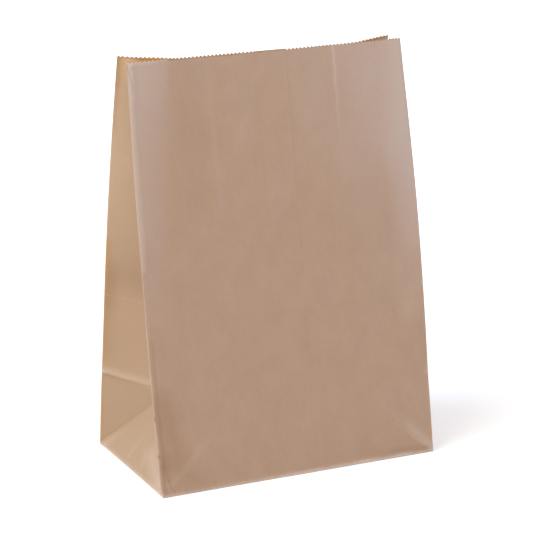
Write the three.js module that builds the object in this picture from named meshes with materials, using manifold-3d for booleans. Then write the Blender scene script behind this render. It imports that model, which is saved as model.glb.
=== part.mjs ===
import * as THREE from 'three';
import Module from 'manifold-3d';

// Brown kraft paper lunch bag of the self-opening kind: one sheet, seamed into a gusseted tube and
// folded shut at the base. It stands open at the base and is almost closed at the mouth.
// Millimetres. Origin under the middle of the base, X to the right along the front panel,
// Y from front to back, Z up.

// The bag
const WIDTH = 220; // front panel, fold to fold
const DEPTH = 120; // base from front to back, and the full width of a gusset
const HEIGHT = 310; // paper length from the base fold to the cut top
const PAPER = 0.12; // thickness of one ply

// How the panels lean and bow
const FRONT_LEAN_LEFT = 54.5; // set-back of the front panel's top left corner
const FRONT_LEAN_RIGHT = 60.5; // set-back of its top right corner
const FRONT_BOW_RIGHT = 3; // bulge of the front panel's right edge
const BACK_LEAN_AT_CREASE = 5.5; // set-back of the back panel at the base crease
const BACK_BOW = 4.5; // bulge of the back panel above that crease

// The mouth
const MOUTH_GAP_LEFT = 19; // front to back at the left corner
const MOUTH_GAP_RIGHT = 9; // front to back at the right corner
const MOUTH_GAP_MIDDLE = 7; // front to back where the panels are pinched
const MOUTH_SAG = 1.6; // drop of the back edge where it is pinched
const BACK_CORNER_SHIFT = 7; // the back's top right corner stands this far in from the front's
const CREASE_SPRING = 0.8; // how far a gusset ply springs off its folds at the mouth
const TOOTH_PITCH = 3; // serrated cut
const TOOTH_DEPTH = 1;

// Glue seam up the front panel
const SEAM_LAP = 23; // lap of the two ends of the sheet, centred on the panel
const SEAM_RAMP = 2; // run in which the outer ply climbs over the inner ply's edge
const SEAM_CUT = 0.1; // run of the outer ply's cut edge

// Folded base
const FLAP_LAP = 20; // lap of the front base flap over the back one
const FLAP_LAYERS = 2; // plies of folded flap under the base ply

// Mesh steps
const FOLD_STEPS = 4; // across a gusset ply, and up to the base crease
const PANEL_STEPS = 10; // across a panel
const UPPER_STEPS = 8; // from the base crease to the rim band
const RIM_BAND = 12; // depth of the strip that carries the serrated cut
const MITRE_RIDGE = 1e-2; // keeps the offset of a nearly flat spot along its normal
const MITRE_LIMIT = 2.5; // longest offset at a sharp fold, in units of the plain one

const HALF_WIDTH = WIDTH / 2;
const PLY_WIDTH = DEPTH / 2; // half a gusset, which is also the height of the base crease
const ABOVE_CREASE = HEIGHT - PLY_WIDTH;
const BASE_LEVEL = (FLAP_LAYERS + 0.5) * PAPER; // middle of the base ply
const LEFT = -1;
const RIGHT = 1;
const { lerp } = THREE.MathUtils;

// Height that a straight length of paper reaches when its top is set back.
function rise(length, setBack) {
  return Math.sqrt(length * length - setBack * setBack);
}

// 1 at a top corner of the mouth, fading to nothing where the gusset's centre fold pinches it.
function cornerFlare(distance) {
  return Math.max(0, 1 - distance / PLY_WIDTH) ** 2;
}

// 0 at both ends of a stretch and 1 half way along it.
function arch(share) {
  return 4 * share * (1 - share);
}

function mouthGap(share) {
  const left = cornerFlare(share * WIDTH);
  const right = cornerFlare((1 - share) * WIDTH);
  const middle = 1 - left - right;
  return MOUTH_GAP_LEFT * left + MOUTH_GAP_RIGHT * right + MOUTH_GAP_MIDDLE * middle;
}

function backSag(share) {
  return MOUTH_SAG * (1 - cornerFlare(share * WIDTH) - cornerFlare((1 - share) * WIDTH));
}

// The two panels. A share runs from 0 at the left fold to 1 at the right one.
const front = {
  outward: -1,
  rightEdge: () => HALF_WIDTH,
  leanAtTop: (share) => lerp(FRONT_LEAN_LEFT, FRONT_LEAN_RIGHT, share),
  leanAtCrease: (share) => (front.leanAtTop(share) * PLY_WIDTH) / HEIGHT,
  bow: (share) => FRONT_BOW_RIGHT * share,
  sag: () => 0,
};
const back = {
  outward: 1,
  rightEdge: (v) => HALF_WIDTH - BACK_CORNER_SHIFT * (v / HEIGHT) ** 2,
  leanAtTop: (share) => DEPTH - front.leanAtTop(share) - mouthGap(share),
  leanAtCrease: () => BACK_LEAN_AT_CREASE,
  bow: () => BACK_BOW,
  sag: backSag,
};
front.facing = back;
back.facing = front;

// A point of a panel, v up the paper: flat to the base crease, leaning and bowed above it.
function panelPoint(panel, share, v) {
  const atCrease = panel.leanAtCrease(share);
  const x = lerp(-HALF_WIDTH, panel.rightEdge(v), share);
  let lean = (atCrease * v) / PLY_WIDTH;
  let z = (rise(PLY_WIDTH, atCrease) * v) / PLY_WIDTH;
  if (v > PLY_WIDTH) {
    const up = (v - PLY_WIDTH) / ABOVE_CREASE;
    const further = panel.leanAtTop(share) - atCrease;
    lean = atCrease + further * up - panel.bow(share) * arch(up);
    z = rise(PLY_WIDTH, atCrease) + rise(ABOVE_CREASE, further) * up - panel.sag(share) * up * up;
  }
  return new THREE.Vector3(x, panel.outward * (PLY_WIDTH - lean), BASE_LEVEL + z);
}

function edgePoint(panel, side, v) {
  return panelPoint(panel, side === LEFT ? 0 : 1, v);
}

// Depth of a panel's surface at a place across the bag.
function panelDepth(panel, x, v) {
  const share = (x + HALF_WIDTH) / (panel.rightEdge(v) + HALF_WIDTH);
  return panelPoint(panel, share, v).y;
}

// Centre fold of a gusset at or above the base crease. Both plies keep their width, so the fold moves in
// as the panels close, and it keeps its own length from the apex of the base fold up.
function centreFold(side, v) {
  const middle = edgePoint(front, side, v).add(edgePoint(back, side, v)).multiplyScalar(0.5);
  const halfGap = middle.y - edgePoint(front, side, v).y;
  middle.x -= side * rise(PLY_WIDTH, halfGap);
  middle.z = BASE_LEVEL + halfGap;
  if (v > PLY_WIDTH) {
    const apex = centreFold(side, PLY_WIDTH);
    const top = foldMouth(side);
    const travel = Math.hypot(top.x - apex.x, top.y - apex.y);
    middle.z = apex.z + (rise(ABOVE_CREASE, travel) * (v - PLY_WIDTH)) / ABOVE_CREASE;
  }
  return middle;
}

// Plan position of a gusset's centre fold at the mouth.
function foldMouth(side) {
  const nearer = edgePoint(front, side, HEIGHT);
  const further = edgePoint(back, side, HEIGHT);
  const inset = rise(PLY_WIDTH, (further.y - nearer.y) / 2);
  return { x: (nearer.x + further.x) / 2 - side * inset, y: (nearer.y + further.y) / 2 };
}

// A point of the gusset ply that joins a panel's fold to the centre fold, q across from the panel.
function gussetPoint(side, panel, q, v) {
  if (v < PLY_WIDTH) return gussetFootPoint(side, panel, q, v);
  const share = q / PLY_WIDTH;
  const edge = edgePoint(panel, side, v);
  const point = edge.clone().lerp(centreFold(side, v), share);
  const depth = panelDepth(panel, point.x, v);
  const gap = panelDepth(panel.facing, point.x, v) - depth;
  const spring = (CREASE_SPRING * (v - PLY_WIDTH)) / ABOVE_CREASE;
  const stand = (Math.abs(gap) / 2) * share + spring * Math.sin(2 * Math.PI * share);
  point.y = depth - panel.outward * stand;
  return point;
}

// Below the base crease a gusset is flat facets: a triangle that stands on the side of the base, and
// between it and each panel a triangle with its tip at the base corner.
function gussetFootPoint(side, panel, q, v) {
  const corner = edgePoint(panel, side, 0);
  if (q <= v) {
    if (v === 0) return corner;
    const onCrease = gussetPoint(side, panel, (PLY_WIDTH * q) / v, PLY_WIDTH);
    return corner.lerp(onCrease, v / PLY_WIDTH);
  }
  const sideMiddle = new THREE.Vector3(corner.x, 0, corner.z);
  const apex = centreFold(side, PLY_WIDTH);
  const up = apex.sub(sideMiddle).multiplyScalar(v / PLY_WIDTH);
  return corner.lerp(sideMiddle, q / PLY_WIDTH).add(up);
}

// The wall as a loop of stretches, anticlockwise from above. A share runs from 0 to 1 along a stretch.
const evenStops = (count) => Array.from({ length: count + 1 }, (_, i) => i / count);
const seamStart = 0.5 - SEAM_LAP / 2 / WIDTH;
const seamEnd = 0.5 + SEAM_LAP / 2 / WIDTH;
const seamStops = [seamStart - SEAM_RAMP / WIDTH, seamStart, seamEnd, seamEnd + SEAM_CUT / WIDTH];
const onSeam = (share) => share >= seamStops[0] && share <= seamStops.at(-1);
const frontStops = [...evenStops(PANEL_STEPS).filter((share) => !onSeam(share)), ...seamStops];
frontStops.sort((a, b) => a - b);

function panelStretch(panel, stops, place) {
  return { length: WIDTH, stops, place: (share, v) => panelPoint(panel, place(share), v) };
}

function plyStretch(side, panel, inward) {
  const across = (share) => PLY_WIDTH * (inward ? share : 1 - share);
  const place = (share, v) => gussetPoint(side, panel, across(share), v);
  return { length: PLY_WIDTH, stops: evenStops(FOLD_STEPS), place, foldsBack: !inward };
}

const seamedFront = panelStretch(front, frontStops, (share) => share);
const stretches = [
  seamedFront,
  plyStretch(RIGHT, front, true),
  plyStretch(RIGHT, back, false),
  panelStretch(back, evenStops(PANEL_STEPS), (share) => 1 - share),
  plyStretch(LEFT, back, true),
  plyStretch(LEFT, front, false),
];

// Rows of the wall below the rim band.
const rows = [
  ...evenStops(FOLD_STEPS).map((share) => share * PLY_WIDTH),
  ...evenStops(UPPER_STEPS).slice(1).map((share) => PLY_WIDTH + share * (ABOVE_CREASE - RIM_BAND)),
];

// Extra plies on the outside: one over the seam's lap, none elsewhere.
function extraPlies(stretch, share) {
  if (stretch !== seamedFront || !onSeam(share)) return 0;
  if (share < seamStart) return (share - seamStops[0]) / (seamStart - seamStops[0]);
  return share > seamEnd ? 0 : 1;
}

// Cut top of a stretch: teeth with a valley at each fold, and a plain cut across the seam's lap.
function cutTop(stretch) {
  const teeth = Math.round(stretch.length / TOOTH_PITCH);
  const toothed = evenStops(2 * teeth).map((share, i) => ({ share, tip: i % 2 === 1 }));
  const plain = stretch === seamedFront ? seamStops.map((share) => ({ share, tip: false })) : [];
  const kept = stretch === seamedFront ? toothed.filter(({ share }) => !onSeam(share)) : toothed;
  return [...kept, ...plain].sort((a, b) => a.share - b.share);
}

// The middle surface of the folded sheet.
const points = [];
const plies = [];
const triangles = [];

function addPoint(stretch, share, v) {
  points.push(stretch.place(share, v));
  plies.push(extraPlies(stretch, share));
  return points.length - 1;
}

// One closed row: for each stretch, the points from its first stop to the next stretch's first.
function addRow(stops) {
  const row = stretches.map((stretch) => stops(stretch).slice(0, -1).map(
    ({ share, v }) => ({ share, index: addPoint(stretch, share, v) }),
  ));
  return row.map((part, i) => {
    const next = row[(i + 1) % row.length][0];
    return [...part, { share: 1, index: next.index }];
  });
}

// Fills the band between two rows of one stretch, always across the shorter diagonal.
function zip(lower, upper) {
  let i = 0;
  let j = 0;
  while (i < lower.length - 1 || j < upper.length - 1) {
    const lowerNext = i < lower.length - 1 ? lower[i + 1].share - upper[j].share : Infinity;
    const upperNext = j < upper.length - 1 ? upper[j + 1].share - lower[i].share : Infinity;
    if (lowerNext <= upperNext) {
      triangles.push([lower[i].index, lower[i + 1].index, upper[j].index]);
      i += 1;
    } else {
      triangles.push([lower[i].index, upper[j + 1].index, upper[j].index]);
      j += 1;
    }
  }
}

// Fills a band of four-sided cells, each split along the way that the base fold's diagonal runs.
function lattice(lower, upper, foldsBack) {
  for (let i = 0; i < lower.length - 1; i += 1) {
    const [a, b] = [lower[i].index, lower[i + 1].index];
    const [d, c] = [upper[i].index, upper[i + 1].index];
    if (foldsBack) triangles.push([a, b, d], [b, c, d]);
    else triangles.push([a, b, c], [a, c, d]);
  }
}

const wallRows = rows.map((v) => addRow(({ stops }) => stops.map((share) => ({ share, v }))));
const rim = addRow((stretch) => cutTop(stretch).map(
  ({ share, tip }) => ({ share, v: tip ? HEIGHT : HEIGHT - TOOTH_DEPTH }),
));
for (let r = 0; r < wallRows.length - 1; r += 1) {
  stretches.forEach((stretch, i) => lattice(wallRows[r][i], wallRows[r + 1][i], stretch.foldsBack));
}
stretches.forEach((_, i) => zip(wallRows.at(-1)[i], rim[i]));

const loopOf = (row) => row.flatMap((part) => part.slice(0, -1).map(({ index }) => index));
const baseLoop = loopOf(wallRows[0]);
const baseOutline = baseLoop.map((index) => new THREE.Vector2(points[index].x, points[index].y));
for (const [a, b, c] of THREE.ShapeUtils.triangulateShape(baseOutline, [])) {
  triangles.push([baseLoop[c], baseLoop[b], baseLoop[a]]);
}

// Offset at each point that moves every surface around it out by one unit, mitred at the folds.
function mitres() {
  const spreads = points.map(() => [new THREE.Vector3(), new THREE.Vector3(), new THREE.Vector3()]);
  const sums = points.map(() => new THREE.Vector3());
  for (const corners of triangles) {
    const [a, b, c] = corners.map((index) => points[index]);
    const normal = b.clone().sub(a).cross(c.clone().sub(a)).normalize();
    for (const index of corners) {
      sums[index].add(normal);
      spreads[index].forEach((row, axis) => row.addScaledVector(normal, normal.getComponent(axis)));
    }
  }
  return sums.map((sum, index) => {
    const [x, y, z] = spreads[index];
    const ridge = MITRE_RIDGE * (x.x + y.y + z.z);
    const spread = new THREE.Matrix3(
      x.x + ridge, x.y, x.z,
      y.x, y.y + ridge, y.z,
      z.x, z.y, z.z + ridge,
    );
    return sum.applyMatrix3(spread.invert()).clampLength(0, MITRE_LIMIT);
  });
}

// The sheet given its thickness: outer and inner skins, closed along the cut top.
function thickSheet() {
  const offsets = mitres();
  const outer = points.map((p, i) => p.clone().addScaledVector(offsets[i], PAPER * (0.5 + plies[i])));
  const inner = points.map((p, i) => p.clone().addScaledVector(offsets[i], -PAPER / 2));
  const count = points.length;
  const faces = [...triangles, ...triangles.map(([a, b, c]) => [c + count, b + count, a + count])];
  const rimLoop = loopOf(rim);
  rimLoop.forEach((a, i) => {
    const b = rimLoop[(i + 1) % rimLoop.length];
    faces.push([a, b, b + count], [a, b + count, a + count]);
  });
  return { corners: [...outer, ...inner], faces };
}

// A folded base flap: its cut corners run at 45 degrees, as the gusset's paper is tucked in under it.
function baseFlap(panel, layers) {
  const reach = PLY_WIDTH + FLAP_LAP / 2;
  const fold = panel.outward * PLY_WIDTH;
  const free = fold - panel.outward * reach;
  const outline = new THREE.Shape([
    new THREE.Vector2(-HALF_WIDTH, fold),
    new THREE.Vector2(HALF_WIDTH, fold),
    new THREE.Vector2(HALF_WIDTH - reach, free),
    new THREE.Vector2(reach - HALF_WIDTH, free),
  ]);
  const depth = BASE_LEVEL - (FLAP_LAYERS - layers) * PAPER;
  const flap = new THREE.ExtrudeGeometry(outline, { depth, bevelEnabled: false });
  return flap.translate(0, 0, (FLAP_LAYERS - layers) * PAPER);
}

const wasm = await Module();
wasm.setup();

function solidOf(vertProperties, triVerts) {
  const mesh = new wasm.Mesh({ numProp: 3, vertProperties, triVerts });
  mesh.merge();
  return new wasm.Manifold(mesh);
}

function solidOfGeometry(geometry) {
  const position = geometry.getAttribute('position');
  const order = Uint32Array.from({ length: position.count }, (_, i) => i);
  return solidOf(Float32Array.from(position.array), order);
}

function geometryOf(solid) {
  const { vertProperties, triVerts } = solid.getMesh();
  const geometry = new THREE.BufferGeometry();
  geometry.setAttribute('position', new THREE.BufferAttribute(vertProperties, 3));
  geometry.setIndex(new THREE.BufferAttribute(triVerts, 1));
  geometry.computeVertexNormals();
  return geometry;
}

const { corners, faces } = thickSheet();
const sheet = solidOf(
  Float32Array.from(corners.flatMap((corner) => corner.toArray())),
  Uint32Array.from(faces.flat()),
);
const frontFlap = solidOfGeometry(baseFlap(front, FLAP_LAYERS));
const backFlap = solidOfGeometry(baseFlap(back, FLAP_LAYERS - 1));
const folded = sheet.add(frontFlap).add(backFlap);

const kraft = new THREE.MeshStandardMaterial({ color: 0xb2937e, roughness: 0.75, metalness: 0 });
const paperBag = new THREE.Mesh(geometryOf(folded), kraft);
paperBag.name = 'paper_bag';

const bag = new THREE.Group();
bag.add(paperBag);

export default bag;
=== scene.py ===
import math
from itertools import accumulate
from types import SimpleNamespace

import bpy
import numpy as np
from mathutils import Matrix, Vector


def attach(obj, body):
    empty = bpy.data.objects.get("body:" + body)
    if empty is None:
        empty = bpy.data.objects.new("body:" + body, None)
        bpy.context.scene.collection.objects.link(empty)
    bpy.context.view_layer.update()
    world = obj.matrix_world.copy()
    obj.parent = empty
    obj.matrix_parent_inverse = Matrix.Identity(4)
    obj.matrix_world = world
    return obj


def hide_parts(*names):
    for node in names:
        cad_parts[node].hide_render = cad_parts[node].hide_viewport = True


# A brown kraft paper lunch bag: one sheet, seamed into a gusseted tube and folded shut at the base.
# The sheet is worked out in millimetres, in the part's own frame, and becomes metres in the meshes.

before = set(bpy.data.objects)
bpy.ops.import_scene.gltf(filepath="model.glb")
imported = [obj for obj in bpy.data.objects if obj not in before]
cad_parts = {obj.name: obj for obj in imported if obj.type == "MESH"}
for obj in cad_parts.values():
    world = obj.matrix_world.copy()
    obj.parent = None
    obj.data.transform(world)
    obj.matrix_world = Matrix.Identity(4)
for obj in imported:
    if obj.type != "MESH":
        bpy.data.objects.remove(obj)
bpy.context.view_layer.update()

MM = 0.001

# The bag
WIDTH = 220  # front panel, fold to fold
DEPTH = 120  # base from front to back, and the full width of a gusset
HEIGHT = 310  # paper length from the base fold to the cut top
PAPER = 0.12  # thickness of one ply

# How the panels lean and bow
FRONT_LEAN_LEFT = 54.5  # set-back of the front panel's top left corner
FRONT_LEAN_RIGHT = 60.5  # set-back of its top right corner
FRONT_BOW_RIGHT = 3  # bulge of the front panel's right edge
BACK_LEAN_AT_CREASE = 5.5  # set-back of the back panel at the base crease
BACK_BOW = 4.5  # bulge of the back panel above that crease
BACK_CORNER_SHIFT = 7  # the back's top right corner stands this far in from the front's
CREASE_SPRING = 0.8  # how far a gusset ply springs off its folds at the mouth

# The mouth. Its corner gaps, its sag and its cut follow the photo more closely than the part's do.
MOUTH_GAP_LEFT = 22  # front to back at the left corner
MOUTH_GAP_RIGHT = 7.5  # front to back at the right corner
MOUTH_GAP_MIDDLE = 7  # front to back where the panels are pinched
MOUTH_SAG = 3.2  # drop of the back edge where it is pinched
SAG_LEFT_START = 25  # distance from the left corner at which the drop begins
SAG_LEFT_END = 70  # and at which it is full
SAG_RIGHT_END = 40  # distance from the right corner at which it is full
TOOTH_PITCH = 3  # serrated cut
TOOTH_DEPTH = 1.2
TOOTH_RISE = 0.5  # how far the tips stand above the bag's nominal height
CUT_STEP = 1.2  # how much higher the cut is at the front left corner
CUT_STEP_AT_SEAM = 0.36  # and at the seam's edge, where the sheet's ends meet a little out of line
SEAM_TIP = 0.6  # level of the plain cut across the seam's lap, from 0 in a valley to 1 at a tip

# Glue seam up the front panel
SEAM_LAP = 23  # lap of the two ends of the sheet, centred on the panel
SEAM_RAMP = 2  # run in which the outer ply climbs over the inner ply's edge
SEAM_CUT = 0.05  # run of the outer ply's cut edge

# Folded base
FLAP_LAP = 20  # lap of the front base flap over the back one
FLAP_LAYERS = 2  # plies of folded flap under the base ply

HALF_WIDTH = WIDTH / 2
PLY_WIDTH = DEPTH / 2  # half a gusset, which is also the height of the base crease
ABOVE_CREASE = HEIGHT - PLY_WIDTH
BASE_LEVEL = (FLAP_LAYERS + 0.5) * PAPER  # middle of the base ply
PERIMETER = 2 * (WIDTH + DEPTH)
LEFT, RIGHT = -1, 1

# The flat sheet that the bag is folded from
BASE_FLAP = PLY_WIDTH + FLAP_LAP / 2

# How the folds are rounded
FOLD_RADIUS_LOW = 0.7  # rounding of the upright folds at the base
FOLD_RADIUS_HIGH = 1.7  # and at the mouth, where they have sprung open
SOFT_FOLD_RADIUS = 2.2  # rounding of the back left fold, the softest one
BASE_RADIUS = 1.0  # rounding of the fold around the base
CREASE_RADIUS = 0.6  # rounding of the creases across the tube
ROUNDING = ((-1, 1), (-0.5, 3), (0, 4), (0.5, 3), (1, 1))  # places in radii, and their weights
LET_OUT = 0.5  # how far the folds are set out, because rounding draws them in again
BASE_SINK = 0.2  # how far the base fold hangs below the base ply, down to the outer flap
SINK_REACH = 2.5  # distance in from the base fold within which it does

# How the folds and corners stand out of line
CORNER_SWELL = 1.7  # how far the front left fold stands out above its base corner
CORNER_SWELL_END = 7  # height at which it does so in full
UPPER_SWELL = 1.2  # how much further it stands out half way up
UPPER_SWELL_START = 20  # height at which that begins
UPPER_SWELL_END = 110  # and at which it is full
SWELL_EASES = 220  # height from which the fold comes in again, to half as much at the mouth
BACK_SWELL = 0.9  # how far the back left fold stands out at the base, fading between the same heights
RIGHT_SWELL = 1.0  # how far the front right fold bows out half way up
RIGHT_TUCK = 1.2  # how far it is drawn in at the mouth
TUCK_START = 170  # height from which it is
SWELL_REACH = 14  # how far across the paper a swell fades
CORNER_FLARE = 3.5  # how far the mouth's front left corner is bent forward
FLARE_START = 225  # height from which it is
FLARE_REACH = 30  # how far across the paper it is
CORNER_SPLAY = (-0.8, -1.6)  # how far the base's front right corner stands along X and Y
SPLAY_START = 40  # place across the front panel from which it does
SPLAY_HEIGHT = 150  # height at which that has faded


def lerp(a, b, share):
    return a + (b - a) * share


def smoothstep(low, high, x):
    share = np.clip((x - low) / (high - low), 0, 1)
    return share * share * (3 - 2 * share)


def rise(length, set_back):
    """Height that a straight length of paper reaches when its top is set back."""
    return np.sqrt(length**2 - set_back**2)


def arch(share):
    """0 at both ends of a stretch and 1 half way along it."""
    return 4 * share * (1 - share)


def corner_flare(distance):
    """1 at a top corner of the mouth, fading to nothing where the gusset's centre fold pinches it."""
    return np.maximum(0, 1 - distance / PLY_WIDTH) ** 2


def mouth_gap(share):
    left = corner_flare(share * WIDTH)
    right = corner_flare((1 - share) * WIDTH)
    return MOUTH_GAP_LEFT * left + MOUTH_GAP_RIGHT * right + MOUTH_GAP_MIDDLE * (1 - left - right)


def back_sag(share):
    """The back panel's drop at the mouth, between its two corners."""
    from_left = smoothstep(SAG_LEFT_START, SAG_LEFT_END, share * WIDTH)
    return MOUTH_SAG * from_left * smoothstep(0, SAG_RIGHT_END, (1 - share) * WIDTH)


def front_lean(share):
    return lerp(FRONT_LEAN_LEFT, FRONT_LEAN_RIGHT, share)


front = SimpleNamespace(
    outward=-1,
    right_edge=lambda v: HALF_WIDTH,
    lean_at_top=front_lean,
    lean_at_crease=lambda share: front_lean(share) * PLY_WIDTH / HEIGHT,
    bow=lambda share: FRONT_BOW_RIGHT * share,
    sag=lambda share: 0,
)
back = SimpleNamespace(
    outward=1,
    right_edge=lambda v: HALF_WIDTH - BACK_CORNER_SHIFT * (v / HEIGHT) ** 2,
    lean_at_top=lambda share: DEPTH - front_lean(share) - mouth_gap(share),
    lean_at_crease=lambda share: BACK_LEAN_AT_CREASE,
    bow=lambda share: BACK_BOW,
    sag=back_sag,
)
front.facing, back.facing = back, front


def panel_point(panel, share, v):
    """A point of a panel: flat to the base crease, leaning and bowed above it."""
    at_crease = panel.lean_at_crease(share)
    further = panel.lean_at_top(share) - at_crease
    up = np.maximum(0, v - PLY_WIDTH) / ABOVE_CREASE
    foot = np.minimum(v, PLY_WIDTH) / PLY_WIDTH
    lean = at_crease * foot + further * up - panel.bow(share) * arch(up)
    z = rise(PLY_WIDTH, at_crease) * foot + rise(ABOVE_CREASE, further) * up - panel.sag(share) * up**2
    x = lerp(-HALF_WIDTH, panel.right_edge(v), share)
    return np.stack(np.broadcast_arrays(x, panel.outward * (PLY_WIDTH - lean), BASE_LEVEL + z), -1)


def edge_point(panel, side, v):
    return panel_point(panel, 0.0 if side == LEFT else 1.0, v)


def panel_depth(panel, x, v):
    """Depth of a panel's surface at a place across the bag."""
    return panel_point(panel, (x + HALF_WIDTH) / (panel.right_edge(v) + HALF_WIDTH), v)[..., 1]


def centre_fold(side, v):
    """Centre fold of a gusset at or above the base crease. Both plies keep their width."""
    near, far = edge_point(front, side, v), edge_point(back, side, v)
    fold = (near + far) / 2
    half_gap = (far[..., 1] - near[..., 1]) / 2
    fold[..., 0] -= side * rise(PLY_WIDTH, half_gap)
    fold[..., 2] = BASE_LEVEL + half_gap
    return fold


def fold_line(side, v):
    """The centre fold, with its own length kept from the apex of the base fold up."""
    fold = centre_fold(side, v)
    apex = centre_fold(side, np.float64(PLY_WIDTH))
    mouth = centre_fold(side, np.float64(HEIGHT))
    travel = np.hypot(*(mouth - apex)[:2])
    fold[..., 2] = apex[2] + rise(ABOVE_CREASE, travel) * (v - PLY_WIDTH) / ABOVE_CREASE
    return fold


def upper_gusset(side, panel, q, v):
    """A point of a gusset ply above the base crease, q across from the panel's fold."""
    share = (q / PLY_WIDTH)[..., None]
    point = lerp(edge_point(panel, side, v), fold_line(side, v), share)
    depth = panel_depth(panel, point[..., 0], v)
    gap = np.abs(panel_depth(panel.facing, point[..., 0], v) - depth)
    spring = CREASE_SPRING * (v - PLY_WIDTH) / ABOVE_CREASE
    stand = gap / 2 * share[..., 0] + spring * np.sin(2 * np.pi * share[..., 0])
    point[..., 1] = depth - panel.outward * stand
    return point


def gusset_point(side, panel, q, v):
    """A point of the gusset ply that joins a panel's fold to the centre fold, q across from the panel.
    Below the base crease it is a triangle on the side of the base and another with its tip at the corner."""
    crease_height = np.full_like(v, PLY_WIDTH)
    low = np.minimum(v, PLY_WIDTH)
    corner = edge_point(panel, side, np.zeros_like(v))
    spread_q = PLY_WIDTH * np.minimum(1, q / np.maximum(low, 1e-9))
    on_crease = upper_gusset(side, panel, spread_q, crease_height)
    upright = lerp(corner, on_crease, (low / PLY_WIDTH)[..., None])
    middle = corner * (1, 0, 1)
    climb = (fold_line(side, crease_height) - middle) * (low / PLY_WIDTH)[..., None]
    sloping = lerp(corner, middle, (q / PLY_WIDTH)[..., None]) + climb
    foot = np.where((q <= low)[..., None], upright, sloping)
    above = upper_gusset(side, panel, q, np.maximum(v, PLY_WIDTH))
    return np.where((v > PLY_WIDTH)[..., None], above, foot)


# The wall's stretches, anticlockwise from above, each with its length and its place for s along it and v up.
stretches = [
    SimpleNamespace(length=WIDTH, place=lambda s, v: panel_point(front, s / WIDTH, v)),
    SimpleNamespace(length=PLY_WIDTH, place=lambda s, v: gusset_point(RIGHT, front, s, v)),
    SimpleNamespace(length=PLY_WIDTH, place=lambda s, v: gusset_point(RIGHT, back, PLY_WIDTH - s, v)),
    SimpleNamespace(length=WIDTH, place=lambda s, v: panel_point(back, 1 - s / WIDTH, v)),
    SimpleNamespace(length=PLY_WIDTH, place=lambda s, v: gusset_point(LEFT, back, s, v)),
    SimpleNamespace(length=PLY_WIDTH, place=lambda s, v: gusset_point(LEFT, front, PLY_WIDTH - s, v)),
]
lengths = [stretch.length for stretch in stretches]
for stretch, start in zip(stretches, accumulate(lengths, initial=0)):
    stretch.start = start
FRONT, RIGHT_FRONT, RIGHT_BACK, BACK, LEFT_BACK, LEFT_FRONT = stretches


def bend_folds(place, u, v):
    """Moves the upright folds out of line across the bag, as they stand on a handled one."""
    from_left = np.minimum(u, PERIMETER - u)
    upper = smoothstep(UPPER_SWELL_START, UPPER_SWELL_END, v)
    left = CORNER_SWELL * smoothstep(0, CORNER_SWELL_END, v) + UPPER_SWELL * upper
    left *= 1 - smoothstep(SWELL_EASES, HEIGHT, v) / 2
    right = RIGHT_SWELL * arch(np.clip(v / HEIGHT, 0, 1)) - RIGHT_TUCK * smoothstep(TUCK_START, HEIGHT, v)
    place[..., 0] -= left * np.exp(-from_left / SWELL_REACH)
    place[..., 0] -= BACK_SWELL * (1 - upper) * np.exp(-np.abs(u - LEFT_BACK.start) / SWELL_REACH)
    place[..., 0] += right * np.exp(-np.abs(u - WIDTH) / SWELL_REACH)


def bend_corners(place, u, v):
    """Bends the mouth's front left corner forward, and sets the base's front right corner out of square."""
    from_left = np.minimum(u, PERIMETER - u)
    flare = CORNER_FLARE * np.maximum(0, 1 - from_left / FLARE_REACH) * smoothstep(FLARE_START, HEIGHT, v)
    place[..., 0] -= flare / 2
    place[..., 1] -= flare
    splay = np.interp(u, (SPLAY_START, WIDTH, RIGHT_BACK.start), (0, 1, 0))
    splay *= 1 - smoothstep(0, SPLAY_HEIGHT, v)
    place[..., :2] += splay[..., None] * CORNER_SPLAY


def turn_under(place, v):
    """Draws the sheet in under the bag below the base fold, and lets the folds out for the rounding."""
    inset = np.maximum(-v, 0) - LET_OUT
    place[..., 0] *= 1 - inset / HALF_WIDTH
    place[..., 1] *= 1 - inset / PLY_WIDTH
    place[..., 2] -= BASE_SINK * (1 - smoothstep(0, SINK_REACH, np.abs(v)))


def surface(u, v):
    """Middle of the sheet with sharp folds, u around the tube and v up it from the base fold."""
    u = np.mod(u, PERIMETER)
    place = np.zeros(u.shape + (3,))
    for stretch in stretches:
        here = (u >= stretch.start) & (u < stretch.start + stretch.length)
        place[here] = stretch.place(u[here] - stretch.start, np.maximum(v[here], 0))
    bend_folds(place, u, v)
    bend_corners(place, u, v)
    turn_under(place, v)
    return place


def rounded(u, v):
    """The sheet's middle with its folds rounded, as the mean over a small patch around each point."""
    across = lerp(FOLD_RADIUS_LOW, FOLD_RADIUS_HIGH, smoothstep(PLY_WIDTH, HEIGHT, v))
    soft = 1 - smoothstep(0, PLY_WIDTH / 2, np.abs(u - LEFT_BACK.start))
    across = lerp(across, SOFT_FOLD_RADIUS, soft)
    along = lerp(BASE_RADIUS, CREASE_RADIUS, smoothstep(BASE_RADIUS, 4 * BASE_RADIUS, v))
    total, weight = 0, 0
    for step_u, weight_u in ROUNDING:
        for step_v, weight_v in ROUNDING:
            total = total + weight_u * weight_v * surface(u + step_u * across, v + step_v * along)
            weight += weight_u * weight_v
    return total / weight


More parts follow.
